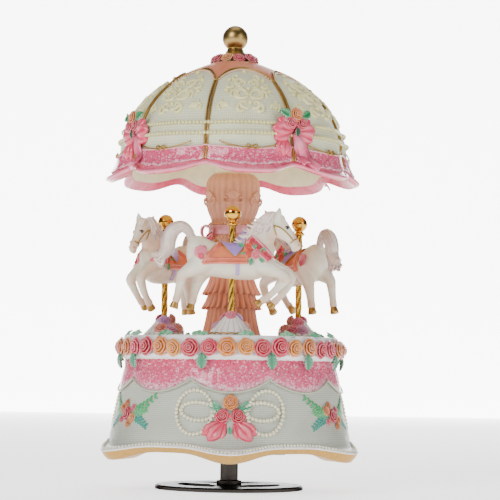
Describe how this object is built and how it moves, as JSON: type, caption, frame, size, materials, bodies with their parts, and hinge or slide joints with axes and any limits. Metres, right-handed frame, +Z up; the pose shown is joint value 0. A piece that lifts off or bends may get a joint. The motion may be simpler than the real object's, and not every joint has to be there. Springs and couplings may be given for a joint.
{
  "type": "carousel music box",
  "caption": "Wind-up carousel music box: a flared base on a turntable foot, prancing horses on twisted poles, a ruffled column and a domed canopy that all turn as it plays.",
  "frame": {"origin": "centre of the foot disc on the table", "axes": "+Z up along the turning axis, -Y towards the front (the middle pearl bow)"},
  "size_m": [0.1062, 0.117, 0.1943],
  "materials": {
    "dark_steel": "polished",
    "nylon": "satin",
    "bright_steel": "satin",
    "brass_gear": "satin",
    "white_resin": "satin",
    "black_plastic": "matte",
    "pink_glitter": "gloss",
    "rose_resin": "gloss",
    "green_leaf": "gloss",
    "pearl_paint": "gloss",
    "zinc_casting": "matte",
    "spring_steel": "satin",
    "peach_resin": "satin",
    "pink_satin_paint": "gloss",
    "ivory_resin": "satin",
    "satin_gold": "satin",
    "twisted_brass": "polished",
    "polished_gold": "polished",
    "horse_resin": "gloss"
  },
  "bodies": {
    "foot": {"foot_disc": "dark_steel", "stem_post": "dark_steel", "thrust_washer": "nylon", "winding_arbor": "bright_steel", "drive_gear": "brass_gear"},
    "carousel": {"barrel_bridge": "zinc_casting", "base_shell": "white_resin", "bedplate": "zinc_casting", "bottom_cover": "black_plastic", "bridge_screws": "bright_steel", "canopy_bow_1": "pink_satin_paint", "canopy_bow_2": "pink_satin_paint", "canopy_bow_3": "pink_satin_paint", "canopy_bow_4": "pink_satin_paint", "canopy_pearls": "pearl_paint", "canopy_shell": "ivory_resin", "column": "peach_resin", "column_bow": "pink_satin_paint", "comb": "spring_steel", "comb_block": "zinc_casting", "comb_screws": "bright_steel", "cover_screws": "bright_steel", "cylinder_bracket": "zinc_casting", "finial": "satin_gold", "finial_wreath": "rose_resin", "flower_sprays": "green_leaf", "governor_frame": "zinc_casting", "horse_1": "horse_resin", "horse_2": "horse_resin", "horse_3": "horse_resin", "knob_1": "polished_gold", "knob_2": "polished_gold", "knob_3": "polished_gold", "lace_skirt": "pink_glitter", "mainspring": "spring_steel", "movement_screws": "bright_steel", "pearl_bows": "pearl_paint", "pole_1": "twisted_brass", "pole_2": "twisted_brass", "pole_3": "twisted_brass", "pole_mound_1": "white_resin", "pole_mound_2": "white_resin", "pole_mound_3": "white_resin", "rim_leaves": "green_leaf", "rim_roses": "rose_resin", "spring_barrel": "bright_steel", "tie_rod": "bright_steel", "tie_rod_nut": "bright_steel"},
    "cylinder": {"music_cylinder": "brass_gear", "cylinder_pins": "bright_steel", "cylinder_arbor": "bright_steel", "cylinder_pinion": "brass_gear", "cylinder_gear": "nylon"},
    "governor_wheel": {"governor_arbor": "bright_steel", "governor_pinion": "brass_gear", "worm_wheel": "nylon"},
    "governor_worm": {"worm_shaft": "bright_steel", "governor_fan": "nylon"}
  },
  "joints": [
    {"name": "turntable", "type": "hinge", "parent": "foot", "child": "carousel", "pos_m": [0, 0, 0], "axis": [0, 0, 1], "continuous": true},
    {"name": "cylinder_spin", "type": "hinge", "parent": "carousel", "child": "cylinder", "pos_m": [0.011, 0, 0.0377], "axis": [1, 0, 0], "continuous": true},
    {"name": "governor_spin", "type": "hinge", "parent": "carousel", "child": "governor_wheel", "pos_m": [0.023, 0.0096, 0.0377], "axis": [1, 0, 0], "continuous": true},
    {"name": "worm_spin", "type": "hinge", "parent": "carousel", "child": "governor_worm", "pos_m": [0.0312, 0.0144, 0.032], "axis": [0, 0, 1], "continuous": true}
  ],
  "couplings": [
    {"joint": "cylinder_spin", "follows": "turntable", "ratio": -1.5},
    {"joint": "governor_spin", "follows": "turntable", "ratio": 7.5},
    {"joint": "worm_spin", "follows": "turntable", "ratio": -120}
  ]
}
